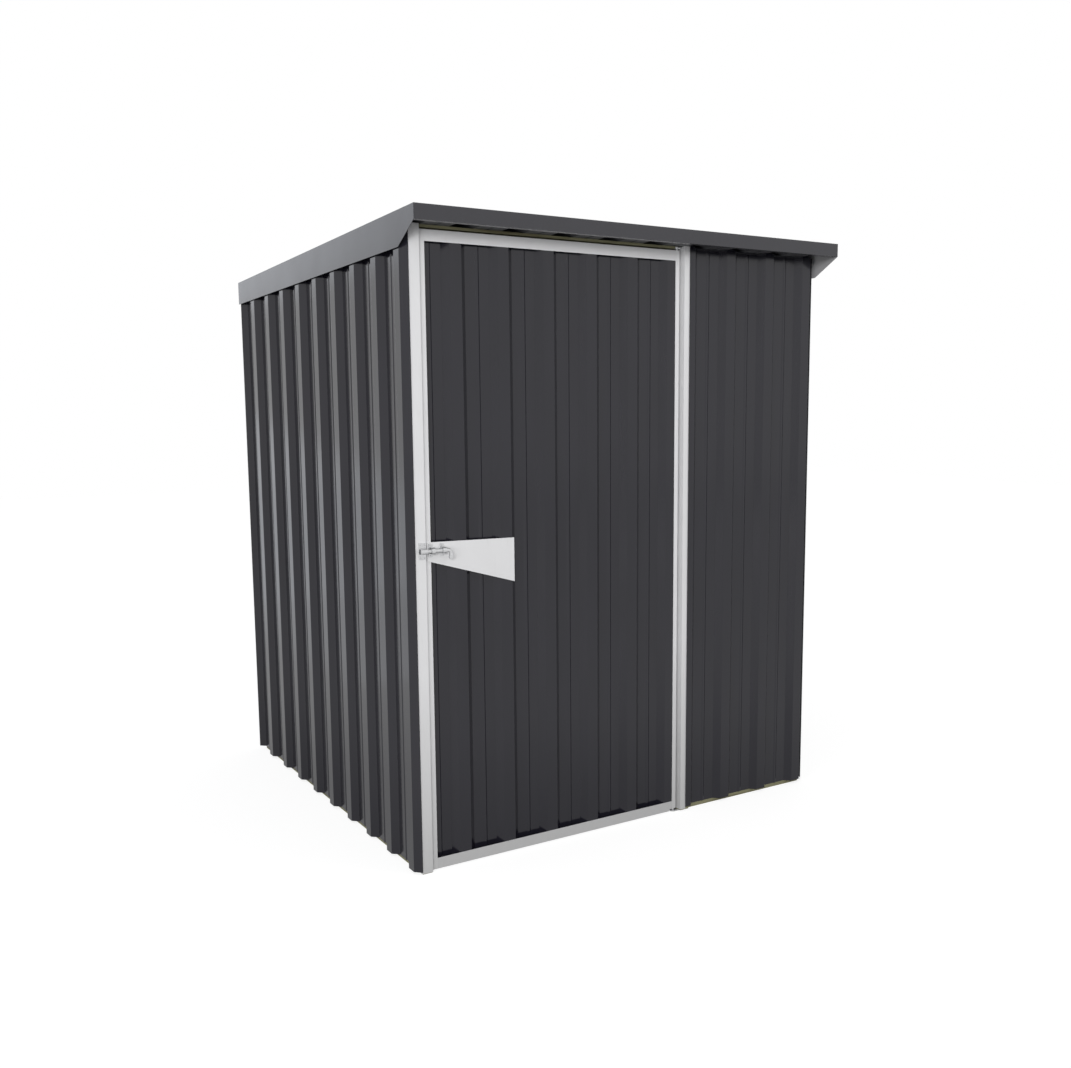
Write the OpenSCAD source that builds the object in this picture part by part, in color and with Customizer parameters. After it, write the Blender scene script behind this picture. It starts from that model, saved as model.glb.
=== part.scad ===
// Mono-pitch metal tool shed: ribbed steel sheets on a timber frame,
// with an outward door on pivot pins and a sliding pad bolt.
// X runs along the front, Y from the front to the back, Z up from the ground.

/* [Frame] */
// Outside width of the timber frame
frame_w = 1544; // [1400:1:2400]
// Outside depth of the timber frame
frame_d = 1523; // [1000:1:2400]
// Height of the roof sheet's underside at the front face of the frame
front_h = 1930; // [1700:1:2300]
// Fall of the roof towards the back, in degrees
roof_pitch = 3; // [1:0.5:6]
// Wide side of the frame timbers
timber_w = 45; // [40:1:60]
// Narrow side of the frame timbers
timber_t = 35; // [25:1:45]
// Height of the girts above the ground
girt_z = 940; // [700:5:1200]

/* [Sheeting] */
// Thickness of the ribbed sheets
sheet_t = 1; // [0.8:0.1:1.5]
// Height of a rib above the pan, on the walls and the door
rib_h = 20; // [14:1:26]
// Spacing of the ribs on the walls and the roof
rib_pitch = 171; // [140:1:220]
// Width of a rib's flat crest
crest_w = 38; // [28:1:48]
// Sideways run of a rib's sloping flank
flank_run = 20; // [12:1:26]
// Height of the small swage along the middle of each pan
swage_h = 2; // [1:0.5:4]
// Width of the swage at its foot
swage_w = 14; // [10:1:20]
// Width of the swage's flat top
swage_top_w = 6; // [3:1:8]
// Gap from the ground to the foot of the side and back sheets
sheet_foot = 8; // [6:1:20]
// Gap from the ground to the foot of the front sheet
front_sheet_foot = 14; // [6:1:20]
// Reach of the side sheets in front of the frame
side_lead = 15; // [12:1:18]

/* [Roof] */
// Height of a rib on the roof sheet
roof_rib_h = 30; // [20:1:36]
// Reach of the fascia in front of the frame
front_reach = 116.5; // [90:0.5:160]
// Reach of the roof behind the frame
rear_reach = 25; // [24:1:60]
// Reach of each barge outside the frame
barge_reach = 27; // [24:1:40]
// Thickness of the fascia and barge flashings
trim_t = 1; // [0.8:0.1:1.5]
// Height of the fascia
fascia_h = 43.5; // [36:0.5:60]
// Depth of the fascia's return along its lower edge
fascia_lip = 22; // [12:1:30]
// Depth of the fascia's cap over the roof ribs
fascia_cap = 60; // [40:1:80]
// Height of a barge where its front bevel ends
barge_front_h = 101; // [80:1:120]
// Height of a barge at the back
barge_back_h = 83; // [70:1:120]
// Length of the bevel along the barge's front end
bevel_run = 111.5; // [80:0.5:140]
// Width of the barge's cap over the roof's edge rib
barge_cap = 40; // [20:1:60]

/* [Doorway] */
// Clear width between the two door posts
doorway_w = 941.5; // [700:0.5:1000]
// Face width of the door post on the lock side
post_w = 35; // [32:1:38]
// Face width of the door post on the hinge side
hinge_post_w = 22.5; // [20:0.5:30]
// Reach of the post on the lock side in front of the frame
post_proud = 12; // [10:1:16]
// Thickness of the folded door posts
post_t = 1.5; // [1:0.1:2]
// Depth of a post's return along the stud beside the doorway
post_return = 26; // [20:1:28]
// Gap from the ground to the foot of the post on the lock side
lock_post_foot = 2; // [1:1:20]
// Gap from the ground to the foot of the post on the hinge side
hinge_post_foot = 7; // [5:1:20]

/* [Door] */
// Thickness of the timber left over the rebate for the leaf, at its front
head_plate_t = 7.5; // [7:0.5:12]
// Height of the stop that hangs behind the leaf's head
head_stop_h = 35; // [25:1:45]
// Gap from the leaf's back to the stop
stop_gap = 5; // [5:0.5:6]
// Gap from the ground to the foot of the leaf at its hinge
leaf_foot = 9.5; // [9.5:0.5:12]
// Gap from the ground to the bottom rail
rail_foot = 3; // [3:0.5:8]
// Gap from the nose of the bottom bracket to the low part of the bottom rail
rail_clear = 8; // [8:0.5:12]
// Setback of the leaf behind the front of the posts
leaf_recess = 12; // [6:1:14]
// Gap at the lock side of the leaf
lock_gap = 5.5; // [5:0.5:8]
// Gap that the leaf's hinge corner keeps from the post while it swings
hinge_clear = 5.5; // [5:0.5:8]
// Thickness of the folded leaf frame
channel_t = 1.5; // [1:0.1:2]
// Face width of the stiles
stile_w = 15.5; // [14:0.5:30]
// Face width of the head rail
head_rail_h = 33; // [24:1:40]
// Face width of the bottom rail
foot_rail_h = 34; // [24:1:50]
// Spacing of the ribs on the door skin
door_rib_pitch = 157; // [130:1:200]
// Distance from the leaf's lock edge to its first rib
door_rib_start = 75; // [40:1:110]

/* [Pivots] */
// Radius of the pivot pins
pivot_r = 5; // [4:0.5:6]
// Distance from the leaf's hinge edge to the pivot line
pivot_inset = 8; // [7:0.5:11]
// Distance from the leaf's front to the pivot line
pivot_set = 6; // [6:0.5:9]
// Thickness of the pivot brackets
bracket_t = 4; // [3:0.5:4]
// Rounding radius of a bracket's nose round the pin
bracket_r = 11; // [9:0.5:18]
// Gap over the leaf
head_gap = 5; // [5:0.5:8]

/* [Lock] */
// Height of the bolt's axis above the ground
bolt_z = 993; // [900:1:1100]
// Radius of the bolt
bolt_r = 6; // [5:0.5:6.5]
// Length of the bolt's straight bar, up to the bend of its handle
bolt_len = 80; // [78:1:100]
// Distance from the post's outer edge to the bolt's tip
bolt_tip = 20; // [14:1:22]
// Bend radius of the handle, along the bar's middle
bend_r = 12; // [10:1:20]
// Length of the handle's straight part below the bend
handle_len = 2; // [1:1:15]
// Radius of the flattened finger tab at the handle's end
tab_r = 7; // [6.5:0.5:13]
// Thickness of the finger tab
tab_t = 7; // [5:0.5:9]
// Clear gap round the bolt in its guides
bolt_play = 0.3; // [0.2:0.1:0.5]
// Wall of the guides round the bolt
loop_wall = 3; // [2.5:0.5:4]
// Clear gap round the bolt in the keeper
keeper_play = 1.5; // [0.5:0.1:2]
// Wall of the keeper's tunnel
keeper_wall = 1.6; // [1.2:0.1:3]
// Thickness of the lock plate
plate_t = 3; // [2:0.5:4]
// Length of the lock plate
plate_len = 293; // [240:1:320]
// Setback of the lock plate from the leaf's lock edge
plate_inset = 2; // [1:0.5:4]
// Height of the plate's upper edge above the bolt's axis
plate_rise = 24; // [20:1:30]
// Height of the plate at the lock edge
plate_near_h = 56; // [50:1:60]
// Height of the plate at its far end
plate_far_h = 137; // [110:1:160]
// Fall of the plate's upper edge towards its far end
plate_fall = 5; // [0:1:10]
// Width of a bolt guide along the bolt
guide_w = 12; // [10:1:14]
// Height of a bolt guide's flanges, end to end
guide_h = 40; // [34:1:44]
// Distance from the bolt's tip to the first guide
guide_near = 27; // [26:1:32]
// Distance from the bolt's tip to the second guide
guide_far = 63; // [52:1:64]
// Width of the keeper along the bolt
keeper_w = 23; // [18:1:26]
// Setback of the keeper from the post's edge at the doorway
keeper_inset = 0.5; // [0.5:0.5:4]
// Height of the keeper's flanges, end to end
keeper_h = 50; // [45:1:65]
// Thickness of the keeper's and the guides' flanges
keeper_t = 2; // [1.5:0.5:3]
// Gap from the keeper's foot to the bolt
keeper_gap = 1; // [0.8:0.1:2]

/* [Hidden] */
$fn = 48;

// Overrun of every cut and join
cut = 1;
// Paint and sealant gap round the roof sheet, the flashings' caps and the let-in bracket
seat_gap = 0.2;
// Clear gap round a pivot pin
pivot_play = 0.3;
// Gap left past the end of a pivot pin
pin_short = 1;
// Gap from the front sheet's end to the side sheet
corner_gap = 2;
// Reach of the front sheet over the face of the hinge post
post_lap = 2;
// Gap from the face of the hinge post to the back of the front sheet's first crest
crest_gap = 2;
// Flat left of the front sheet's first crest
first_crest_w = 23;

half_w = frame_w / 2;
fall = tan(roof_pitch);
steep = 1 / cos(roof_pitch);
trim_half = half_w + barge_reach;
fascia_y = -front_reach;
roof_back = frame_d + rear_reach;
// The frame's front face, placed so that the footprint's middle is the origin
frame_y = (front_reach - roof_back) / 2;

// Height of the roof sheet's underside and of the flashings' top at a depth
function roof_z(y) = front_h - y * fall;
function trim_z(y) = roof_z(y) + (sheet_t + roof_rib_h + trim_t) * steep + 2 * seat_gap;

door_x0 = post_w - half_w;
door_x1 = door_x0 + doorway_w;
leaf_x0 = door_x0 + lock_gap;
leaf_d = rib_h + sheet_t + 2 * channel_t;
leaf_y = leaf_recess - post_proud;
plate_under = front_h - head_plate_t;
leaf_top = plate_under - head_gap;
leaf_h = leaf_top - leaf_foot;
// The leaf's front hinge corner swings on this radius round the pivot line
corner_r = sqrt(pivot_inset * pivot_inset + pivot_set * pivot_set);
pivot_x = door_x1 - hinge_clear - corner_r;
pivot_y = leaf_y + pivot_set;
leaf_x1 = pivot_x + pivot_inset;
stop_y = leaf_y + leaf_d + stop_gap;
hinge_proud = rib_h - crest_gap;
hinge_stud_x1 = door_x1 + post_t + timber_t;
hinge_stud_y = post_t - hinge_proud;
stud_y = post_t - post_proud;
stud_back = stud_y + timber_w;

bolt_y = -post_proud - keeper_t - keeper_gap - bolt_r;
tip_x = bolt_tip - half_w;
plate_top = bolt_z + plate_rise;

// One rib and one pan of a sheet: distance along the sheet, height above the pan
function rib_table(pitch, high) =
  let (foot = 2 * flank_run + crest_w, mid = (foot + pitch) / 2)
  [[0, 0], [flank_run, high], [flank_run + crest_w, high], [foot, 0],
   [mid - swage_w / 2, 0], [mid - swage_top_w / 2, swage_h],
   [mid + swage_top_w / 2, swage_h], [mid + swage_w / 2, 0], [pitch, 0]];

function rib_height(s, pitch, first, high) =
  let (u = s - first)
  lookup(u - pitch * floor(u / pitch), rib_table(pitch, high));

// The face line of a sheet cut from a to b, with a rib starting at first
function rib_line(a, b, pitch, first, high) =
  let (table = rib_table(pitch, high), k0 = floor((a - first) / pitch), k1 = ceil((b - first) / pitch))
  concat([[a, rib_height(a, pitch, first, high)]],
         [for (k = [k0:k1]) for (i = [0:len(table) - 2])
            let (s = first + k * pitch + table[i][0])
            if (s > a && s < b) [s, table[i][1]]],
         [[b, rib_height(b, pitch, first, high)]]);

// A ribbed sheet standing on its end, its pan's face on Y zero and its ribs towards +Y
module ribbed(a, b, pitch, first, length, high = rib_h) {
  face = rib_line(a, b, pitch, first, high);
  last = len(face) - 1;
  back = [for (i = [0:last]) [face[last - i][0], face[last - i][1] - sheet_t]];
  linear_extrude(length) polygon(concat(face, back));
}

// Moves a piece from the frame's front face to the shared origin
module seat() {
  translate([0, frame_y, 0]) children();
}

// Box from its low corner to its high corner
module block(low, high) {
  translate(low) cube(high - low);
}

// Outline in Y and Z drawn out along X
module side_cut(x0, x1, outline) {
  translate([x0, 0, 0]) rotate([90, 0, 90]) linear_extrude(x1 - x0) polygon(outline);
}

// Everything above the roof sheet's underside
module above_roof() {
  wide = trim_half + cut;
  near = fascia_y - cut;
  far = roof_back + cut;
  high = front_h + front_h;
  side_cut(-wide, wide, [[near, roof_z(near)], [far, roof_z(far)], [far, high], [near, high]]);
}

// Timber lying under the roof sheet, with the roof's fall
module roof_timber(x0, x1, y0, y1) {
  side_cut(x0, x1, [[y0, roof_z(y0)], [y1, roof_z(y1)],
                    [y1, roof_z(y1) - timber_t], [y0, roof_z(y0) - timber_t]]);
}

module timber() { color("darkkhaki") seat() children(); }
module charcoal() { color("dimgray") seat() children(); }
module white() { color("gainsboro") seat() children(); }
module zinc() { color("silver") seat() children(); }

// Timber frame

module left_bottom_plate() {
  timber() block([-half_w, stud_back, 0], [timber_w - half_w, frame_d, timber_t]);
}

module right_bottom_plate() {
  timber() block([half_w - timber_w, 0, 0], [half_w, frame_d, timber_t]);
}

module back_bottom_plate() {
  timber() block([timber_w - half_w, frame_d - timber_w, 0], [half_w - timber_w, frame_d, timber_t]);
}

module front_bottom_plate() {
  timber() block([hinge_stud_x1, 0, 0], [half_w - timber_w, timber_w, timber_t]);
}

module front_left_stud() {
  timber() block([post_t - half_w, stud_y, 0], [door_x0 - post_t, stud_back, plate_under]);
}

module hinge_stud() {
  timber() block([door_x1 + post_t, hinge_stud_y, bracket_t],
                 [hinge_stud_x1, hinge_stud_y + timber_w, plate_under]);
}

module front_right_stud() {
  timber() block([half_w - timber_t, 0, timber_t], [half_w, timber_w, plate_under]);
}

module back_stud(x0) {
  y0 = frame_d - timber_w;
  timber() side_cut(x0, x0 + timber_t,
    [[y0, timber_t], [frame_d, timber_t],
     [frame_d, roof_z(frame_d) - timber_t], [y0, roof_z(y0) - timber_t]]);
}

module back_left_stud() { back_stud(-half_w); }

module back_right_stud() { back_stud(half_w - timber_t); }

module left_girt() {
  timber() block([-half_w, stud_back, girt_z],
                 [timber_w - half_w, frame_d - timber_w, girt_z + timber_t]);
}

module right_girt() {
  timber() block([half_w - timber_w, timber_w, girt_z],
                 [half_w, frame_d - timber_w, girt_z + timber_t]);
}

module back_girt() {
  timber() block([timber_t - half_w, frame_d - timber_w, girt_z],
                 [half_w - timber_t, frame_d, girt_z + timber_t]);
}

module front_girt() {
  timber() block([hinge_stud_x1, 0, girt_z], [half_w - timber_t, timber_w, girt_z + timber_t]);
}

// Head timber, rebated over the doorway for the leaf, with the top bracket let in
module front_top_plate() {
  timber() difference() {
    union() {
      side_cut(-half_w, half_w,
        [[0, plate_under], [timber_w, plate_under], [timber_w, roof_z(timber_w)], [0, roof_z(0)]]);
      block([door_x0, stop_y, plate_under - head_stop_h], [door_x1, timber_w, plate_under + cut]);
    }
    block([pivot_x - bracket_r - seat_gap, -cut, plate_under - cut],
          [door_x1, pivot_y + bracket_r + seat_gap, plate_under + bracket_t]);
  }
}

module left_top_plate() {
  timber() roof_timber(-half_w, timber_w - half_w, timber_w, frame_d - timber_w);
}

module right_top_plate() {
  timber() roof_timber(half_w - timber_w, half_w, timber_w, frame_d - timber_w);
}

module back_top_plate() {
  timber() roof_timber(-half_w, half_w, frame_d - timber_w, frame_d);
}

module roof_purlin() {
  mid = frame_d / 2;
  timber() roof_timber(timber_w - half_w, half_w - timber_w, mid - timber_w / 2, mid + timber_w / 2);
}

// Ribbed sheets

module side_sheet() {
  difference() {
    translate([-half_w - sheet_t, 0, sheet_foot]) rotate([0, 0, 90])
      ribbed(-side_lead, frame_d + sheet_t + rib_h, rib_pitch, -side_lead, front_h);
    above_roof();
  }
}

module left_wall_sheet() { charcoal() side_sheet(); }

module right_wall_sheet() { charcoal() mirror([1, 0, 0]) side_sheet(); }

module back_wall_sheet() {
  charcoal() difference() {
    translate([0, frame_d + sheet_t, sheet_foot])
      ribbed(-half_w, half_w, rib_pitch, -flank_run - crest_w / 2, front_h);
    above_roof();
  }
}

module front_wall_sheet() {
  edge = door_x1 + hinge_post_w - post_lap;
  first = edge + first_crest_w - crest_w - flank_run;
  charcoal() difference() {
    translate([0, -sheet_t, front_sheet_foot]) mirror([0, 1, 0])
      ribbed(edge, half_w - corner_gap, rib_pitch, first, front_h);
    above_roof();
  }
}

module roof_sheet() {
  start = fascia_y + trim_t;
  length = (roof_back - start) * steep - (sheet_t + roof_rib_h) * fall;
  edge = trim_half - trim_t - seat_gap;
  charcoal() translate([0, start, roof_z(start) + seat_gap]) rotate([-roof_pitch, 0, 0])
    translate([0, length, sheet_t]) rotate([90, 0, 0])
      ribbed(-edge, edge, rib_pitch, -rib_pitch / 2 - flank_run - crest_w / 2, length, roof_rib_h);
}

// Flashings

module front_fascia() {
  low = trim_z(fascia_y) - fascia_h;
  inner = fascia_y + trim_t;
  back = fascia_y + fascia_cap;
  lip = fascia_y + fascia_lip;
  thick = trim_t * steep;
  edge = trim_half - trim_t;
  charcoal() side_cut(-edge, edge,
    [[fascia_y, low], [lip, low], [lip, low + trim_t], [inner, low + trim_t],
     [inner, trim_z(inner) - thick], [back, trim_z(back) - thick], [back, trim_z(back)],
     [fascia_y, trim_z(fascia_y)]]);
}

module barge() {
  bevel = fascia_y + bevel_run;
  cap = fascia_y + fascia_cap;
  thick = trim_t * steep;
  union() {
    side_cut(-trim_half, trim_t - trim_half,
      [[fascia_y, trim_z(fascia_y)], [fascia_y, trim_z(fascia_y) - fascia_h],
       [bevel, trim_z(bevel) - barge_front_h], [roof_back, trim_z(roof_back) - barge_back_h],
       [roof_back, trim_z(roof_back)]]);
    side_cut(-trim_half, barge_cap - trim_half,
      [[cap, trim_z(cap)], [cap, trim_z(cap) - thick],
       [roof_back, trim_z(roof_back) - thick], [roof_back, trim_z(roof_back)]]);
  }
}

module left_barge() { charcoal() barge(); }

module right_barge() { charcoal() mirror([1, 0, 0]) barge(); }

// Door posts and pivot brackets

// Folded cover over a stud, hollow up to hollow_x, with a deep return from return_x along the doorway
module door_post(x0, wide, proud, hollow_x, return_x, foot) {
  white() union() {
    difference() {
      block([x0, -proud, foot], [x0 + wide, 0, front_h + front_reach]);
      block([x0 + post_t, post_t - proud, 0], [hollow_x, cut, front_h + front_h]);
      above_roof();
    }
    block([return_x, -proud, foot], [return_x + post_t, post_return, plate_under]);
  }
}

module left_door_post() {
  door_post(-half_w, post_w, post_proud, door_x0 - post_t, door_x0 - post_t, lock_post_foot);
}

// An angle, since the front sheet's first crest covers its open edge
module right_door_post() {
  door_post(door_x1, hinge_post_w, hinge_proud, door_x1 + hinge_post_w + cut, door_x1, hinge_post_foot);
}

// Flat bracket with a round nose round the pivot line and a tail to x1
module pivot_bracket(z0, x1) {
  translate([0, 0, z0]) difference() {
    union() {
      translate([pivot_x, pivot_y, 0]) cylinder(r = bracket_r, h = bracket_t);
      block([pivot_x, pivot_y - bracket_r, 0], [x1, pivot_y + bracket_r, bracket_t]);
    }
    translate([pivot_x, pivot_y, -cut]) cylinder(r = pivot_r + pivot_play, h = bracket_t + 2 * cut);
  }
}

// Let into the head timber, with an upstand against the timber's face
module top_pivot_bracket() {
  zinc() union() {
    pivot_bracket(plate_under, door_x1);
    block([pivot_x - bracket_r, -bracket_t, plate_under + bracket_t], [door_x1, 0, front_h - pin_short]);
  }
}

module bottom_pivot_bracket() { zinc() pivot_bracket(0, hinge_stud_x1); }

// Door leaf

module door_skin() {
  charcoal() translate([0, leaf_y + channel_t + rib_h, leaf_foot + channel_t]) mirror([0, 1, 0])
    ribbed(leaf_x0 + channel_t, leaf_x1 - channel_t, door_rib_pitch, leaf_x0 + door_rib_start,
           leaf_h - 2 * channel_t);
}

// Folded channel along the leaf's head, open below
module door_head_rail() {
  x0 = leaf_x0 + stile_w;
  x1 = leaf_x1 - stile_w;
  white() difference() {
    block([x0, leaf_y, leaf_top - head_rail_h], [x1, leaf_y + leaf_d, leaf_top]);
    block([x0 - cut, leaf_y + channel_t, leaf_top - head_rail_h - cut],
          [x1 + cut, leaf_y + leaf_d - channel_t, leaf_top - channel_t]);
  }
}

// Folded channel along the leaf's foot, open above, stepped up over the bottom bracket
module door_foot_rail() {
  x0 = leaf_x0 + stile_w;
  x1 = leaf_x1 - stile_w;
  low_x1 = pivot_x - bracket_r - rail_clear;
  rail_top = rail_foot + foot_rail_h;
  inner_y = leaf_y + channel_t;
  back_y = leaf_y + leaf_d;
  white() difference() {
    union() {
      block([x0, leaf_y, rail_foot], [low_x1, back_y, rail_top]);
      block([x0, leaf_y, leaf_foot], [x1, back_y, rail_top]);
    }
    block([x0 - cut, inner_y, rail_foot + channel_t],
          [low_x1 - channel_t, back_y - channel_t, rail_top + cut]);
    block([x0 - cut, inner_y, leaf_foot + channel_t], [x1 + cut, back_y - channel_t, rail_top + cut]);
  }
}

module door_lock_stile() {
  white() difference() {
    block([leaf_x0, leaf_y, rail_foot], [leaf_x0 + stile_w, leaf_y + leaf_d, leaf_top]);
    block([leaf_x0 + channel_t, leaf_y + channel_t, rail_foot + channel_t],
          [leaf_x0 + stile_w + cut, leaf_y + leaf_d - channel_t, leaf_top - channel_t]);
  }
}

module door_hinge_stile() {
  white() difference() {
    block([leaf_x1 - stile_w, leaf_y, leaf_foot], [leaf_x1, leaf_y + leaf_d, leaf_top]);
    block([leaf_x1 - stile_w - cut, leaf_y + channel_t, leaf_foot + channel_t],
          [leaf_x1 - channel_t, leaf_y + leaf_d - channel_t, leaf_top - channel_t]);
  }
}

module top_pivot_pin() {
  zinc() translate([pivot_x, pivot_y, leaf_top])
    cylinder(r = pivot_r, h = head_gap + bracket_t - pin_short);
}

module bottom_pivot_pin() {
  zinc() translate([pivot_x, pivot_y, pin_short]) cylinder(r = pivot_r, h = leaf_foot - pin_short);
}

// Lock

module lock_plate() {
  x0 = leaf_x0 + plate_inset;
  x1 = x0 + plate_len;
  far_top = plate_top - plate_fall;
  white() translate([0, leaf_y, 0]) rotate([90, 0, 0]) linear_extrude(plate_t)
    polygon([[x0, plate_top - plate_near_h], [x1, far_top - plate_far_h], [x1, far_top], [x0, plate_top]]);
}

// Saddle over the bolt: a tunnel with round shoulders between two flanges that lie on base_y
module saddle(x0, width, flange_h, base_y, play, wall) {
  loop_r = bolt_r + play + wall;
  translate([x0, 0, bolt_z]) difference() {
    union() {
      translate([0, bolt_y, 0]) rotate([0, 90, 0]) cylinder(r = loop_r, h = width);
      block([0, bolt_y, -loop_r], [width, base_y, loop_r]);
      block([0, base_y - keeper_t, -flange_h / 2], [width, base_y, flange_h / 2]);
    }
    block([-cut, base_y, -loop_r - cut], [width + cut, base_y + loop_r, loop_r + cut]);
    translate([-cut, bolt_y, 0]) rotate([0, 90, 0]) cylinder(r = bolt_r + play, h = width + 2 * cut);
  }
}

module bolt_guide(x0) {
  zinc() saddle(x0, guide_w, guide_h, leaf_y - plate_t, bolt_play, loop_wall);
}

module bolt_guide_near() { bolt_guide(tip_x + guide_near); }

module bolt_guide_far() { bolt_guide(tip_x + guide_far); }

module bolt_keeper() {
  x0 = door_x0 - keeper_inset - keeper_w;
  zinc() saddle(x0, keeper_w, keeper_h, -post_proud, keeper_play, keeper_wall);
}

// Round bar bent down into a handle that ends in a flattened finger tab
module lock_bolt() {
  tab_z = -bend_r - handle_len - tab_r;
  zinc() translate([tip_x, bolt_y, bolt_z]) union() {
    rotate([0, 90, 0]) cylinder(r = bolt_r, h = bolt_len);
    translate([bolt_len, 0, -bend_r]) rotate([90, 0, 0])
      rotate_extrude(angle = 90) translate([bend_r, 0]) circle(r = bolt_r);
    translate([bolt_len + bend_r, 0, tab_z]) cylinder(r = bolt_r, h = handle_len + tab_r);
    translate([bolt_len + bend_r, tab_t / 2, tab_z]) rotate([90, 0, 0]) cylinder(r = tab_r, h = tab_t);
  }
}

left_bottom_plate();
right_bottom_plate();
back_bottom_plate();
front_bottom_plate();
front_left_stud();
hinge_stud();
front_right_stud();
back_left_stud();
back_right_stud();
left_girt();
right_girt();
back_girt();
front_girt();
front_top_plate();
left_top_plate();
right_top_plate();
back_top_plate();
roof_purlin();
left_wall_sheet();
right_wall_sheet();
back_wall_sheet();
front_wall_sheet();
roof_sheet();
front_fascia();
left_barge();
right_barge();
left_door_post();
right_door_post();
top_pivot_bracket();
bottom_pivot_bracket();
bolt_keeper();
door_skin();
door_head_rail();
door_foot_rail();
door_lock_stile();
door_hinge_stile();
top_pivot_pin();
bottom_pivot_pin();
lock_plate();
bolt_guide_near();
bolt_guide_far();
lock_bolt();
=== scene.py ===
"""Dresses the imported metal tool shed: paint, zinc, timber, screws, studio and camera."""

import logging
import math
from dataclasses import dataclass, field
from enum import Enum
from typing import Iterable, Sequence

import bmesh
import bpy
from mathutils import Matrix, Quaternion, Vector
from mathutils.bvhtree import BVHTree


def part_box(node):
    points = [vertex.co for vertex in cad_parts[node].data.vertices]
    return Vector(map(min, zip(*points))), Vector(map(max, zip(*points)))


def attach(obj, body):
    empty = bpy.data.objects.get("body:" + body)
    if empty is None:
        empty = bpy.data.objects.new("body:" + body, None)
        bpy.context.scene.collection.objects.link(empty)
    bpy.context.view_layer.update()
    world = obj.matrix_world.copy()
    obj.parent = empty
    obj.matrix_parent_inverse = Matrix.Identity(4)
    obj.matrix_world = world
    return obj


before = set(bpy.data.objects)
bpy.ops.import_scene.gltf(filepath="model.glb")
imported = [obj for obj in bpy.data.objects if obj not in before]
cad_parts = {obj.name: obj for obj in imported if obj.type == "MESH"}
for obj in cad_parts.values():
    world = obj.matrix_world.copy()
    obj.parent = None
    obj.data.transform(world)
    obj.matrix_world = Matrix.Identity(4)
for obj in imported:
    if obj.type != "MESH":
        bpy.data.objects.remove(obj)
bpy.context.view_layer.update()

LOG = logging.getLogger("tool_shed")
MM = 0.001
# Most of a noise's values lie between these two.
NOISE_LOW, NOISE_HIGH = 0.3, 0.7
# A face counts as looking in a direction from this cosine on.
FACING_LIMIT = 0.2
Point = tuple[float, float, float]
Colour = tuple[float, float, float]
Socket = bpy.types.NodeSocket


class Body(Enum):
    """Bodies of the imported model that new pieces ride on."""

    SHED = "shed"
    DOOR = "door"


class Slot(Enum):
    """Material slot names of the record."""

    SHEET = "charcoal_sheet"
    TRIM = "charcoal_trim"
    ZINC = "zinc_hardware"


class Axis(Enum):
    """Axes of the shed: X along the front, Y to the back, Z up."""

    X = (1.0, 0.0, 0.0)
    Y = (0.0, 1.0, 0.0)
    Z = (0.0, 0.0, 1.0)


class Facing(Enum):
    """Directions that the inner face of a sheet or flashing looks in."""

    RIGHT = (1.0, 0.0, 0.0)
    LEFT = (-1.0, 0.0, 0.0)
    FRONT = (0.0, -1.0, 0.0)
    BACK = (0.0, 1.0, 0.0)
    DOWN = (0.0, 0.0, -1.0)


def shade(colour: Colour, share: float) -> Colour:
    """Makes a colour darker or lighter.

    Args:
        colour: the colour.
        share: how much of it is kept.

    Returns:
        The changed colour.
    """
    return tuple(part * share for part in colour)


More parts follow.
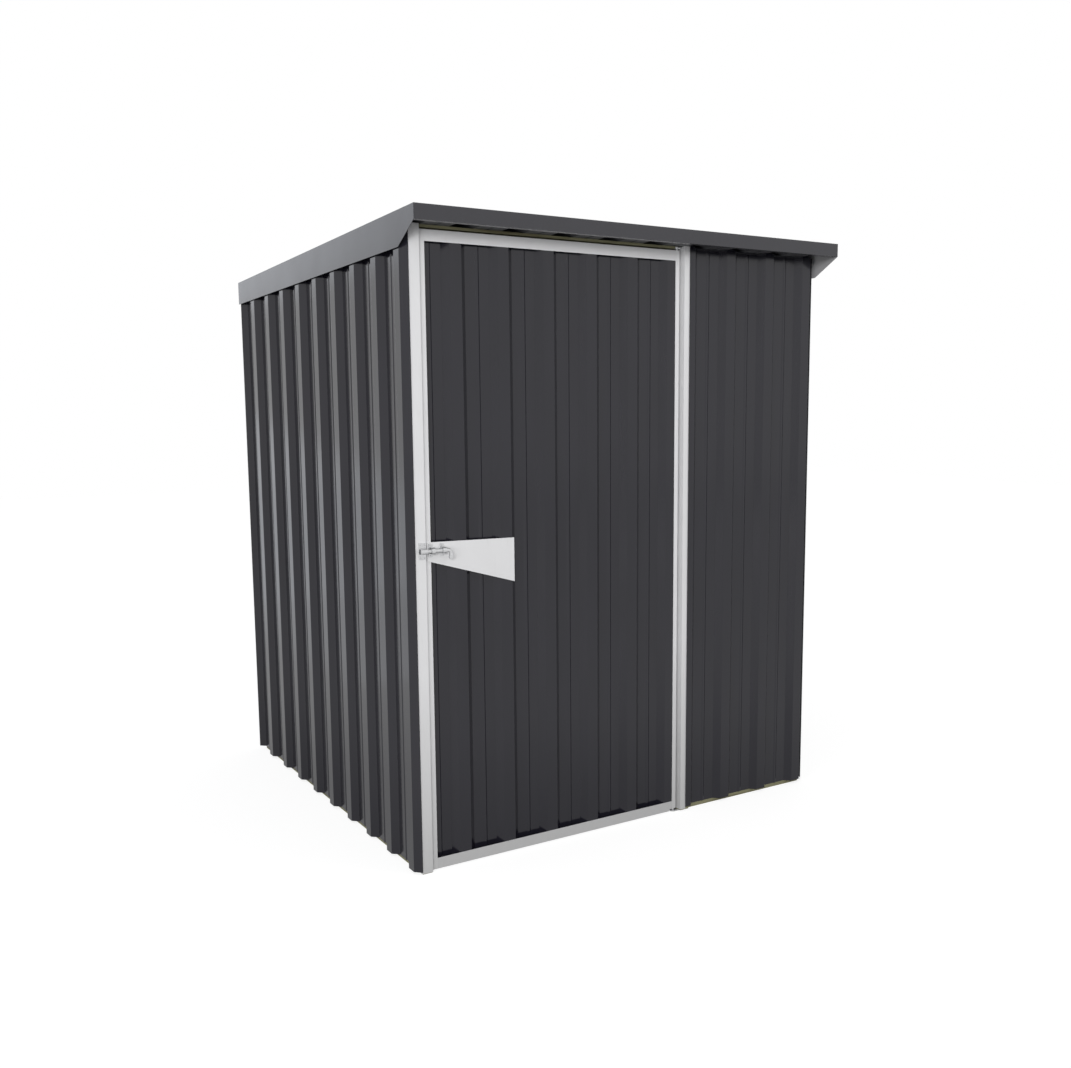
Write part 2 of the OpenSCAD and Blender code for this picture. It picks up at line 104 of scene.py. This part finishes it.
class NodeKit:
    """Short ways to add and join shader nodes in one material."""

    def __init__(self, name: str) -> None:
        """Starts an empty material.

        Args:
            name: the material's name.
        """
        self.material = bpy.data.materials.new(name)
        self.material.use_nodes = True
        self.tree = self.material.node_tree
        self.tree.nodes.clear()
        self.output = self.tree.nodes.new("ShaderNodeOutputMaterial")

    def add(self, kind: str, **values: object) -> bpy.types.Node:
        """Adds a node and sets its properties.

        Args:
            kind: the node's type without its ShaderNode prefix.
            values: properties of the node.

        Returns:
            The new node.
        """
        node = self.tree.nodes.new("ShaderNode" + kind)
        for key, value in values.items():
            setattr(node, key, value)
        return node

    def link(self, source: Socket, target: Socket) -> None:
        """Joins an output to an input.

        Args:
            source: the output.
            target: the input.
        """
        self.tree.links.new(source, target)

    def place(self, scale: Point) -> Socket:
        """Gives the object's own coordinates, stretched.

        Args:
            scale: how many times each axis is repeated.

        Returns:
            The mapped vector.
        """
        coords = self.add("TexCoord")
        mapping = self.add("Mapping")
        mapping.inputs["Scale"].default_value = scale
        self.link(coords.outputs["Object"], mapping.inputs["Vector"])
        return mapping.outputs["Vector"]

    def noise(self, scale: float, detail: float, stretch: Point = (1, 1, 1), rough: float = 0.5) -> Socket:
        """Gives a grey noise in the object's own coordinates.

        Args:
            scale: repeats per metre.
            detail: octaves.
            stretch: stretch of each axis.
            rough: weight of the finer octaves.

        Returns:
            The noise's value.
        """
        node = self.add("TexNoise")
        node.inputs["Scale"].default_value = scale
        node.inputs["Detail"].default_value = detail
        node.inputs["Roughness"].default_value = rough
        self.link(self.place(stretch), node.inputs["Vector"])
        return node.outputs["Fac"]

    def ramp(self, source: Socket, stops: Sequence[tuple[float, Colour]]) -> Socket:
        """Maps a grey value to colours.

        Args:
            source: the grey value.
            stops: places and colours.

        Returns:
            The colour.
        """
        node = self.add("ValToRGB")
        elements = node.color_ramp.elements
        while len(elements) < len(stops):
            elements.new(0.5)
        for element, (place, colour) in zip(elements, stops):
            element.position = place
            element.color = (*colour, 1.0)
        self.link(source, node.inputs["Fac"])
        return node.outputs["Color"]

    def span(self, source: Socket, low: float, high: float, start: float = 0.0, end: float = 1.0) -> Socket:
        """Maps a grey value to a range.

        Args:
            source: the grey value.
            low: result at start.
            high: result at end.
            start: lower grey value.
            end: upper grey value.

        Returns:
            The mapped value.
        """
        node = self.add("MapRange")
        node.inputs["From Min"].default_value = start
        node.inputs["From Max"].default_value = end
        node.inputs["To Min"].default_value = low
        node.inputs["To Max"].default_value = high
        self.link(source, node.inputs["Value"])
        return node.outputs["Result"]

    def mix(self, factor: Socket, first: Socket, second: Socket | Colour) -> Socket:
        """Mixes two colours.

        Args:
            factor: share of the second.
            first: first colour.
            second: second colour, or a fixed one.

        Returns:
            The mixed colour.
        """
        node = self.add("Mix", data_type="RGBA")
        self.link(factor, node.inputs["Factor"])
        self.link(first, node.inputs["A"])
        if isinstance(second, tuple):
            node.inputs["B"].default_value = (*second, 1.0)
        else:
            self.link(second, node.inputs["B"])
        return node.outputs["Result"]

    def bump(self, height: Socket, distance: float, strength: float, normal: Socket | None = None) -> Socket:
        """Makes a bumped normal.

        Args:
            height: grey height.
            distance: height in metres.
            strength: share of the effect.
            normal: normal to start from.

        Returns:
            The normal.
        """
        node = self.add("Bump")
        node.inputs["Strength"].default_value = strength
        node.inputs["Distance"].default_value = distance
        self.link(height, node.inputs["Height"])
        if normal is not None:
            self.link(normal, node.inputs["Normal"])
        return node.outputs["Normal"]

    def round_edges(self, radius: float) -> Socket:
        """Makes a normal that rounds folded edges.

        Args:
            radius: radius in metres.

        Returns:
            The normal.
        """
        node = self.add("Bevel", samples=4)
        node.inputs["Radius"].default_value = radius
        return node.outputs["Normal"]

    def facing(self, direction: Facing) -> Socket:
        """Marks the faces that look in a direction of the object.

        Args:
            direction: the direction.

        Returns:
            One on those faces and zero elsewhere.
        """
        coords = self.add("TexCoord")
        turn = self.add("VectorMath", operation="DOT_PRODUCT")
        turn.inputs[1].default_value = direction.value
        self.link(coords.outputs["Normal"], turn.inputs[0])
        step = self.add("Math", operation="GREATER_THAN")
        step.inputs[1].default_value = FACING_LIMIT
        self.link(turn.outputs["Value"], step.inputs[0])
        return step.outputs["Value"]

    def height(self) -> Socket:
        """Gives the height above the ground in the object's own coordinates.

        Returns:
            The height in metres.
        """
        coords = self.add("TexCoord")
        parts = self.add("SeparateXYZ")
        self.link(coords.outputs["Object"], parts.inputs["Vector"])
        return parts.outputs["Z"]

    def surface(self, **sockets: object) -> bpy.types.Material:
        """Ends the material in one principled surface.

        Args:
            sockets: input names with underscores, and values or sockets for them.

        Returns:
            The finished material.
        """
        shader = self.add("BsdfPrincipled")
        for name, value in sockets.items():
            target = shader.inputs[name.replace("_", " ")]
            if isinstance(value, Socket):
                self.link(value, target)
            else:
                target.default_value = value
        self.link(shader.outputs["BSDF"], self.output.inputs["Surface"])
        return self.material


@dataclass(frozen=True)
class SheetPaint:
    """Baked charcoal paint on steel sheet, faintly mottled and dusty, with a grey coat on its reverse that
    also holds painted light and shade.
    """

    name: str
    inner: Facing
    colour: Colour = (0.0112, 0.0106, 0.0165)
    dust: Colour = (0.023, 0.022, 0.028)
    # Grey of the reverse coat; the roof sets it darker as painted shade and the barges set it paler as
    # painted light.
    reverse_coat_and_light: Colour = (0.18, 0.18, 0.19)
    rough: float = 0.15
    reverse_rough: float = 0.45
    index: float = 1.5
    fold: float = 1.6 * MM

    def make(self) -> bpy.types.Material:
        """Builds the paint's nodes.

        Returns:
            The material.
        """
        kit = NodeKit(self.name)
        back = kit.facing(self.inner)
        mottle = kit.noise(scale=14.0, detail=4.0, stretch=(1, 1, 0.25))
        tone = kit.ramp(mottle, [(NOISE_LOW, shade(self.colour, 0.92)),
                                 (NOISE_HIGH, shade(self.colour, 1.08))])
        runs = kit.noise(scale=30.0, detail=5.0, stretch=(1, 1, 0.05), rough=0.6)
        streak = kit.span(runs, low=0.0, high=0.22, start=0.55, end=0.8)
        # The reverse coat's tone, with painted shade on the roof and painted light on the barges.
        reverse_tone_and_light = kit.ramp(mottle, [(NOISE_LOW, shade(self.reverse_coat_and_light, 0.94)), (NOISE_HIGH, self.reverse_coat_and_light)])
        colour = kit.mix(back, kit.mix(streak, tone, self.dust), reverse_tone_and_light)
        smear = kit.noise(scale=9.0, detail=6.0, stretch=(1, 1, 0.4))
        shine = kit.span(smear, low=self.rough - 0.03, high=self.rough + 0.04,
                         start=NOISE_LOW, end=NOISE_HIGH)
        rough = kit.add("Math", operation="MAXIMUM")
        kit.link(shine, rough.inputs[0])
        kit.link(kit.span(back, low=0.0, high=self.reverse_rough), rough.inputs[1])
        grain = kit.noise(scale=1400.0, detail=2.0)
        normal = kit.bump(grain, distance=0.02 * MM, strength=0.06, normal=kit.round_edges(self.fold))
        return kit.surface(Base_Color=colour, Roughness=rough.outputs[0], Normal=normal, IOR=self.index)


@dataclass(frozen=True)
class FramePaint:
    """Pale satin paint on folded steel, greyed towards its foot by painted shade."""

    name: str
    colour: Colour = (0.765, 0.765, 0.775)
    grime: Colour = (0.50, 0.50, 0.49)
    # Painted shade: the grey that the paint takes at its foot, where less light falls.
    foot_shade: Colour = (0.50, 0.50, 0.50)
    foot_shade_top: float = 0.62
    rough: float = 0.42
    index: float = 1.48
    fold: float = 0.8 * MM

    def make(self) -> bpy.types.Material:
        """Builds the paint's nodes.

        Returns:
            The material.
        """
        kit = NodeKit(self.name)
        mottle = kit.noise(scale=18.0, detail=5.0, stretch=(1, 1, 0.3))
        tone = kit.ramp(mottle, [(NOISE_LOW, shade(self.colour, 0.97)), (NOISE_HIGH, self.colour)])
        scuffs = kit.noise(scale=60.0, detail=8.0, stretch=(1, 1, 0.2), rough=0.65)
        marks = kit.span(scuffs, low=0.0, high=0.18, start=0.58, end=0.8)
        # Painted shade: the paint greys towards the ground, where less light falls.
        foot = kit.span(kit.height(), low=0.85, high=0.0, start=0.0, end=self.foot_shade_top)
        colour = kit.mix(foot, kit.mix(marks, tone, self.grime), self.foot_shade)
        rough = kit.span(mottle, low=self.rough - 0.05, high=self.rough + 0.07,
                         start=NOISE_LOW, end=NOISE_HIGH)
        grain = kit.noise(scale=900.0, detail=2.0)
        normal = kit.bump(grain, distance=0.04 * MM, strength=0.15, normal=kit.round_edges(self.fold))
        return kit.surface(Base_Color=colour, Roughness=rough, Normal=normal, IOR=self.index)


@dataclass(frozen=True)
class ZincPlate:
    """Bright zinc plate with a faint spangle and rubbed marks."""

    name: str
    colour: Colour = (0.70, 0.705, 0.715)
    rough: float = 0.40
    spangle: float = 260.0
    fold: float = 0.6 * MM

    def make(self) -> bpy.types.Material:
        """Builds the plate's nodes.

        Returns:
            The material.
        """
        kit = NodeKit(self.name)
        cells = kit.add("TexVoronoi", feature="F1")
        cells.inputs["Scale"].default_value = self.spangle
        kit.link(kit.place((1, 1, 1)), cells.inputs["Vector"])
        tone = kit.ramp(cells.outputs["Distance"], [(0.0, shade(self.colour, 0.88)), (0.8, self.colour)])
        rub = kit.noise(scale=700.0, detail=6.0, stretch=(0.08, 1, 1))
        rough = kit.span(rub, low=self.rough - 0.08, high=self.rough + 0.1,
                         start=NOISE_LOW, end=NOISE_HIGH)
        normal = kit.bump(rub, distance=0.03 * MM, strength=0.25, normal=kit.round_edges(self.fold))
        return kit.surface(Base_Color=tone, Metallic=1.0, Roughness=rough, Normal=normal)


@dataclass(frozen=True)
class TreatedPine:
    """Rough-sawn pine with a greenish treatment, its grain along one axis."""

    name: str
    along: Axis
    pale: Colour = (0.265, 0.255, 0.155)
    dark: Colour = (0.125, 0.112, 0.060)
    grain_pull: float = 0.06
    saw_pull: float = 0.15
    index: float = 1.45

    def make(self) -> bpy.types.Material:
        """Builds the timber's nodes.

        Returns:
            The material.
        """
        kit = NodeKit(self.name)
        lengthwise = tuple(self.grain_pull if step else 1.0 for step in self.along.value)
        crosswise = tuple(1.0 if step else self.saw_pull for step in self.along.value)
        rings = kit.noise(scale=55.0, detail=6.0, stretch=lengthwise, rough=0.6)
        fibre = kit.noise(scale=420.0, detail=4.0, stretch=lengthwise, rough=0.7)
        tone = kit.ramp(rings, [(0.32, self.dark), (0.52, self.pale), (0.7, shade(self.pale, 0.8))])
        colour = kit.mix(kit.span(fibre, low=0.0, high=0.35, start=0.45, end=0.75), tone, self.dark)
        rough = kit.span(fibre, low=0.68, high=0.85)
        cuts = kit.noise(scale=160.0, detail=3.0, stretch=crosswise)
        sawn = kit.bump(cuts, distance=0.3 * MM, strength=0.25)
        normal = kit.bump(fibre, distance=0.4 * MM, strength=0.5, normal=sawn)
        return kit.surface(Base_Color=colour, Roughness=rough, Normal=normal, IOR=self.index)


@dataclass
class Finishes:
    """Every finish of the shed, made once."""

    sheet: dict[Facing, bpy.types.Material] = field(init=False)
    trim: dict[Facing, bpy.types.Material] = field(init=False)
    white: bpy.types.Material = field(init=False)
    shaded_foot_rail: bpy.types.Material = field(init=False)
    zinc: bpy.types.Material = field(init=False)
    timber: dict[Axis, bpy.types.Material] = field(init=False)

    def __post_init__(self) -> None:
        """Makes the materials."""
        upright = [side for side in Facing if side is not Facing.DOWN]
        self.sheet = {side: SheetPaint("charcoal_sheet_paint_" + side.name.lower(), side).make()
                      for side in upright}
        # Painted shade: the roof's reverse coat is painted darker so the soffit reads shaded.
        roof = SheetPaint("charcoal_roof_paint", Facing.DOWN, reverse_coat_and_light=(0.070, 0.070, 0.076))
        self.sheet[Facing.DOWN] = roof.make()
        self.trim = {}
        for side in (Facing.RIGHT, Facing.LEFT):
            # Painted light: the barges' reverse coat is painted paler so their inner faces read lit.
            barge = SheetPaint("charcoal_barge_paint_" + side.name.lower(), side, reverse_coat_and_light=(0.50, 0.50, 0.51),
                               rough=0.2, index=1.46, fold=1.0 * MM)
            self.trim[side] = barge.make()
        fascia = SheetPaint("charcoal_fascia_paint", Facing.BACK, rough=0.2, index=1.66, fold=1.0 * MM)
        self.trim[Facing.BACK] = fascia.make()
        self.white = FramePaint("pale_frame_paint").make()
        # The foot rail's paint takes a deeper painted shade at its foot.
        self.shaded_foot_rail = FramePaint("pale_foot_rail_paint", foot_shade=(0.44, 0.44, 0.44)).make()
        self.zinc = ZincPlate("zinc_plate").make()
        self.timber = {axis: TreatedPine("treated_pine_" + axis.name.lower(), axis).make() for axis in Axis}


def coat(node: str, material: bpy.types.Material) -> None:
    """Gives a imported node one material.

    Args:
        node: the node's name.
        material: the material.
    """
    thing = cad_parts[node]
    thing.data.materials.clear()
    thing.data.materials.append(material)


@dataclass
class TimberFrame:
    """The treated pine frame behind the sheets."""

    posts: tuple[str, ...] = ("front_left_stud", "hinge_stud", "front_right_stud", "back_left_stud",
                              "back_right_stud")
    across: tuple[str, ...] = ("back_bottom_plate", "front_bottom_plate", "back_girt", "front_girt",
                               "front_top_plate", "back_top_plate", "roof_purlin")
    deep: tuple[str, ...] = ("left_bottom_plate", "right_bottom_plate", "left_girt", "right_girt",
                             "left_top_plate", "right_top_plate")

    def dress(self, finishes: Finishes) -> None:
        """Gives each timber its grain.

        Args:
            finishes: the shed's finishes.
        """
        for names, axis in ((self.posts, Axis.Z), (self.across, Axis.X), (self.deep, Axis.Y)):
            for name in names:
                coat(name, finishes.timber[axis])
        LOG.info("timber frame dressed")


@dataclass
class Cladding:
    """Ribbed sheets and flashings."""

    sheets: tuple[tuple[str, Facing], ...] = (
        ("left_wall_sheet", Facing.RIGHT), ("right_wall_sheet", Facing.LEFT),
        ("back_wall_sheet", Facing.FRONT), ("front_wall_sheet", Facing.BACK),
        ("roof_sheet", Facing.DOWN), ("door_skin", Facing.BACK))
    flashings: tuple[tuple[str, Facing], ...] = (
        ("front_fascia", Facing.BACK), ("left_barge", Facing.RIGHT), ("right_barge", Facing.LEFT))

    def dress(self, finishes: Finishes) -> None:
        """Paints the sheets and flashings.

        Args:
            finishes: the shed's finishes.
        """
        for name, inner in self.sheets:
            coat(name, finishes.sheet[inner])
        for name, inner in self.flashings:
            coat(name, finishes.trim[inner])
        LOG.info("cladding dressed")


@dataclass
class DoorAndLock:
    """Door frame, posts, pivots and lock."""

    pale: tuple[str, ...] = ("left_door_post", "right_door_post", "door_head_rail", "door_lock_stile",
                             "door_hinge_stile", "lock_plate")
    foot: str = "door_foot_rail"
    plated: tuple[str, ...] = ("top_pivot_bracket", "bottom_pivot_bracket", "bolt_keeper", "top_pivot_pin",
                               "bottom_pivot_pin", "bolt_guide_near", "bolt_guide_far", "lock_bolt")

    def dress(self, finishes: Finishes) -> None:
        """Paints the frame and plates the fittings.

        Args:
            finishes: the shed's finishes.
        """
        for name in self.pale:
            coat(name, finishes.white)
        coat(self.foot, finishes.shaded_foot_rail)
        for name in self.plated:
            coat(name, finishes.zinc)
        LOG.info("door and lock dressed")


@dataclass(frozen=True)
class Fixing:
    """One kind of head, built up from rings along its axis and set on a node's surface."""

    rings: tuple[tuple[float, float], ...]
    sides: int
    washer: tuple[tuple[float, float], ...] = ()
    washer_sides: int = 24

    def turn(self, bm: bmesh.types.BMesh, rings: Sequence[tuple[float, float]], sides: int,
             seat: Matrix) -> None:
        """Adds one closed stack of rings.

        Args:
            bm: the mesh to add to.
            rings: pairs of radius and height in millimetres.
            sides: how many sides each ring has.
            seat: where the stack stands.
        """
        angles = [2 * math.pi * step / sides for step in range(sides)]
        loops = []
        for radius, height in rings:
            corners = [Vector((radius * MM * math.cos(angle), radius * MM * math.sin(angle), height * MM))
                       for angle in angles]
            loops.append([bm.verts.new(seat @ corner) for corner in corners])
        bm.faces.new(list(reversed(loops[0])))
        bm.faces.new(loops[-1])
        for low, high in zip(loops, loops[1:]):
            for step in range(sides):
                after = (step + 1) % sides
                bm.faces.new((low[step], low[after], high[after], high[step]))

    def add(self, bm: bmesh.types.BMesh, place: Vector, out: Vector, spin: float) -> None:
        """Adds one head.

        Args:
            bm: the mesh to add to.
            place: the point that it sits on.
            out: the direction that it stands in.
            spin: its turn about that direction.
        """
        upright = out.to_track_quat("Z", "Y").to_matrix().to_4x4()
        seat = Matrix.Translation(place) @ upright @ Matrix.Rotation(spin, 4, "Z")
        if self.washer:
            self.turn(bm, self.washer, self.washer_sides, seat)
        self.turn(bm, self.rings, self.sides, seat)


@dataclass
class Fixings:
    """Screws and rivets, each cast onto the surface that carries it."""

    hex_screw: Fixing = Fixing(
        rings=((4.6, 1.0), (4.6, 5.6), (3.7, 6.4)), sides=6,
        washer=((6.6, -0.4), (7.0, 0.3), (6.8, 1.0), (5.6, 1.7), (4.9, 2.1)))
    pan_screw: Fixing = Fixing(
        rings=((3.6, -0.3), (3.6, 0.8), (3.2, 1.7), (2.3, 2.4), (1.2, 2.7), (1.0, 1.7)), sides=20)
    rivet: Fixing = Fixing(
        rings=((2.7, -0.3), (2.7, 0.3), (2.4, 0.8), (1.7, 1.25), (0.8, 1.45), (0.6, 0.9)), sides=18)
    crests: tuple[float, ...] = (-0.5985, -0.4275, -0.2565, -0.0855, 0.0855, 0.2565, 0.4275, 0.5985)
    spin_step: float = 0.7
    sky: float = 3.0
    ahead: float = -3.0
    fascia_inset: float = 35 * MM
    barge_inset: float = 20 * MM
    barge_screws: int = 5
    keeper_inset: float = 5.0 * MM
    guide_inset: float = 4.5 * MM
    bracket_inset: float = 4.0 * MM
    two_columns_from: float = 20 * MM

    def fix(self, name: str, kind: Fixing, carrier: str, points: Iterable[Point], look: Point, body: Body,
            material: bpy.types.Material) -> None:
        """Sets heads on one node.

        Args:
            name: the new piece's name.
            kind: the head.
            carrier: the node that carries them.
            points: points in front of the surface, one for each head.
            look: the direction from those points to the surface.
            body: the body that they ride on.
            material: their material.
        """
        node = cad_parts[carrier].data
        tree = BVHTree.FromPolygons([v.co for v in node.vertices], [tuple(p.vertices) for p in node.polygons])
        toward = Vector(look)
        bm = bmesh.new()
        for turn, point in enumerate(points):
            place, out, _, _ = tree.ray_cast(Vector(point), toward)
            if place is not None:
                kind.add(bm, place, out if out.dot(toward) < 0 else -out, self.spin_step * turn)
        mesh = bpy.data.meshes.new(name)
        bm.to_mesh(mesh)
        bm.free()
        mesh.materials.append(material)
        piece = bpy.data.objects.new(name, mesh)
        bpy.context.scene.collection.objects.link(piece)
        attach(piece, body.value)
        LOG.info("%s: %d faces", name, len(mesh.polygons))

    def roof(self, finishes: Finishes) -> None:
        """Screws down the roof sheet and the flashings' caps.

        Args:
            finishes: the shed's finishes.
        """
        down = (0.0, 0.0, -1.0)
        carriers = ("front_top_plate", "roof_purlin", "back_top_plate")
        rows = [(low[1] + high[1]) / 2 for low, high in map(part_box, carriers)]
        self.fix("roof_screws", self.hex_screw, "roof_sheet",
                 [(x, y, self.sky) for x in self.crests for y in rows], down,
                 Body.SHED, finishes.sheet[Facing.DOWN])
        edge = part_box("front_fascia")[0][1] + self.fascia_inset
        self.fix("fascia_screws", self.hex_screw, "front_fascia",
                 [(x, edge, self.sky) for x in self.crests], down,
                 Body.SHED, finishes.trim[Facing.BACK])
        gap = (rows[-1] - rows[0]) / (self.barge_screws - 1)
        spread = [rows[0] + gap * step for step in range(self.barge_screws)]
        for barge, side, inner in (("left_barge", 0, Facing.RIGHT), ("right_barge", 1, Facing.LEFT)):
            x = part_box(barge)[side][0] + (self.barge_inset if side == 0 else -self.barge_inset)
            self.fix(barge + "_screws", self.hex_screw, barge, [(x, y, self.sky) for y in spread], down,
                     Body.SHED, finishes.trim[inner])

    def lock(self, finishes: Finishes) -> None:
        """Rivets on the keeper and the saddles, and screws on the top pivot bracket.

        Args:
            finishes: the shed's finishes.
        """
        back = (0.0, 1.0, 0.0)
        for node, body, inset in (("bolt_keeper", Body.SHED, self.keeper_inset),
                                  ("bolt_guide_near", Body.DOOR, self.guide_inset),
                                  ("bolt_guide_far", Body.DOOR, self.guide_inset)):
            low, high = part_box(node)
            across = [(low[0] + high[0]) / 2]
            if high[0] - low[0] > self.two_columns_from:
                across = [low[0] + inset, high[0] - inset]
            ends = (low[2] + inset, high[2] - inset)
            self.fix(node + "_rivets", self.rivet, node,
                     [(x, self.ahead, z) for x in across for z in ends], back,
                     body, finishes.zinc)
        low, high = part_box("top_pivot_bracket")
        spot = ((low[0] + high[0]) / 2, self.ahead, high[2] - self.bracket_inset)
        self.fix("pivot_bracket_screw", self.pan_screw, "top_pivot_bracket", [spot], back,
                 Body.SHED, finishes.zinc)

    def build(self, finishes: Finishes) -> None:
        """Sets every screw and rivet.

        Args:
            finishes: the shed's finishes.
        """
        self.roof(finishes)
        self.lock(finishes)


@dataclass(frozen=True)
class Lamp:
    """One soft lamp, which glossy surfaces show only if it is mirrored."""

    name: str
    place: Point
    aim: Point
    size: tuple[float, float]
    watts: float
    mirrored: bool = False
    colour: Colour = (1.0, 1.0, 1.0)
    roll: float = 0.0

    def hang(self) -> None:
        """Hangs the lamp and turns it to its aim."""
        data = bpy.data.lights.new(self.name, "AREA")
        data.shape = "RECTANGLE"
        data.size, data.size_y = self.size
        data.energy = self.watts
        data.color = self.colour
        lamp = bpy.data.objects.new(self.name, data)
        bpy.context.scene.collection.objects.link(lamp)
        lamp.location = self.place
        aimed = (Vector(self.aim) - Vector(self.place)).to_track_quat("-Z", "Y")
        lamp.rotation_euler = (aimed @ Quaternion(Axis.Z.value, self.roll)).to_euler()
        lamp.visible_camera = False
        lamp.visible_glossy = self.mirrored


COOL = (0.83, 0.89, 1.0)
# The front, left and right lamps light the pale frame. The others are mirrored in the left wall and barge.
LAMPS = (
    Lamp("front_lamp", (-5.8, -8.8, 3.5), (-0.1, -0.7, 1.5), (2.9, 2.4), 400.0),
    Lamp("left_lamp", (-3.2, -2.6, 1.2), (0.0, -0.7, 1.6), (1.2, 1.0), 16.0),
    Lamp("right_lamp", (1.0, -2.6, 2.6), (0.2, -0.8, 1.3), (0.8, 0.8), 7.0),
    Lamp("rear_lamp", (-1.99, 4.2, 3.17), (-1.99, 0.0, 3.17), (3.1, 2.0), 16.0, True, COOL, 0.376),
    Lamp("low_lamp", (-2.119, 4.2, 0.485), (-2.119, 0.0, 0.485), (3.1, 1.2), 6.0, True, COOL, -0.45),
    Lamp("floor_lamp", (-2.9, 2.85, 0.01), (-2.9, 2.85, 1.0), (2.8, 2.7), 5.6, True, COOL),
)


@dataclass
class Studio:
    """White floor, soft light and the photograph's camera."""

    eye: Point = (-2.15221, -3.83282, 1.45262)
    yaw: float = 0.5907
    pitch: float = 0.1386
    focal_px: float = 1154.42
    middle_px: tuple[float, float] = (614.23, 554.50)
    picture_px: tuple[int, int] = (1071, 1068)
    sensor: float = 36.0
    far_end: float = 100.0
    white: tuple[float, float, float, float] = (1.0, 1.0, 1.0, 1.0)
    sky_light: float = 0.62
    sky_seen: float = 1.0
    floor_reach: float = 14.0
    floor_matt: tuple[float, float, float, float] = (0.30, 0.30, 0.30, 1.0)
    floor_glow: float = 0.815
    mirrored_near: float = 0.55
    mirrored_far: float = 0.80
    near_reach: float = 0.9
    far_reach: float = 2.0

    def camera(self) -> None:
        """Sets the camera where the photograph was taken."""
        data = bpy.data.cameras.new("photo_camera")
        camera = bpy.data.objects.new("photo_camera", data)
        bpy.context.scene.collection.objects.link(camera)
        wide, high = self.picture_px
        data.sensor_width = self.sensor
        data.lens = self.sensor * self.focal_px / wide
        data.shift_x = (wide / 2 - self.middle_px[0]) / wide
        data.shift_y = (self.middle_px[1] - high / 2) / wide
        data.clip_end = self.far_end
        camera.location = self.eye
        camera.rotation_euler = (math.pi / 2 - self.pitch, 0.0, -self.yaw)
        bpy.context.scene.camera = camera

    def world(self) -> None:
        """Lights the room evenly and shows white to the camera and to reflections."""
        world = bpy.data.worlds.new("studio")
        bpy.context.scene.world = world
        world.use_nodes = True
        tree = world.node_tree
        tree.nodes.clear()
        out = tree.nodes.new("ShaderNodeOutputWorld")
        mix = tree.nodes.new("ShaderNodeMixShader")
        for place, level in ((1, self.sky_light), (2, self.sky_seen)):
            sky = tree.nodes.new("ShaderNodeBackground")
            sky.inputs["Color"].default_value = self.white
            sky.inputs["Strength"].default_value = level
            tree.links.new(sky.outputs[0], mix.inputs[place])
        path = tree.nodes.new("ShaderNodeLightPath")
        seen = tree.nodes.new("ShaderNodeMath")
        seen.operation = "MAXIMUM"
        tree.links.new(path.outputs["Is Camera Ray"], seen.inputs[0])
        tree.links.new(path.outputs["Is Glossy Ray"], seen.inputs[1])
        tree.links.new(seen.outputs[0], mix.inputs["Fac"])
        tree.links.new(mix.outputs[0], out.inputs["Surface"])

    def floor(self) -> None:
        """Lays the white floor, which keeps the shed's soft shadow and is mirrored dimmer near the shed."""
        mesh = bpy.data.meshes.new("studio_floor")
        reach = self.floor_reach
        corners = [(-reach, -reach, 0), (reach, -reach, 0), (reach, reach, 0), (-reach, reach, 0)]
        mesh.from_pydata(corners, [], [(0, 1, 2, 3)])
        floor = bpy.data.objects.new("studio_floor", mesh)
        bpy.context.scene.collection.objects.link(floor)
        kit = NodeKit("studio_floor")
        matt = kit.add("BsdfDiffuse")
        matt.inputs["Color"].default_value = self.floor_matt
        away = kit.add("VectorMath", operation="LENGTH")
        kit.link(kit.place((1, 1, 1)), away.inputs[0])
        mirrored = kit.span(away.outputs["Value"], low=self.mirrored_near, high=self.mirrored_far,
                            start=self.near_reach, end=self.far_reach)
        path = kit.add("LightPath")
        dimmed = kit.add("Math", operation="MULTIPLY")
        kit.link(path.outputs["Is Glossy Ray"], dimmed.inputs[0])
        kit.link(mirrored, dimmed.inputs[1])
        seen = kit.add("Math", operation="MAXIMUM")
        kit.link(path.outputs["Is Camera Ray"], seen.inputs[0])
        kit.link(dimmed.outputs[0], seen.inputs[1])
        level = kit.add("Math", operation="MULTIPLY")
        kit.link(seen.outputs[0], level.inputs[0])
        level.inputs[1].default_value = self.floor_glow
        glow = kit.add("Emission")
        glow.inputs["Color"].default_value = self.white
        kit.link(level.outputs[0], glow.inputs["Strength"])
        both = kit.add("AddShader")
        kit.link(matt.outputs[0], both.inputs[0])
        kit.link(glow.outputs[0], both.inputs[1])
        kit.link(both.outputs[0], kit.output.inputs["Surface"])
        mesh.materials.append(kit.material)

    def build(self) -> None:
        """Sets camera, world, floor and lamps."""
        bpy.context.scene.view_settings.view_transform = "Standard"
        self.camera()
        self.world()
        self.floor()
        for lamp in LAMPS:
            lamp.hang()
        LOG.info("studio ready")


def main() -> None:
    """Builds the studio and dresses the shed."""
    logging.basicConfig(level=logging.INFO, format="%(name)s: %(message)s")
    Studio().build()
    finishes = Finishes()
    for part in (TimberFrame(), Cladding(), DoorAndLock()):
        part.dress(finishes)
    Fixings().build(finishes)


if __name__ == "__main__":
    main()
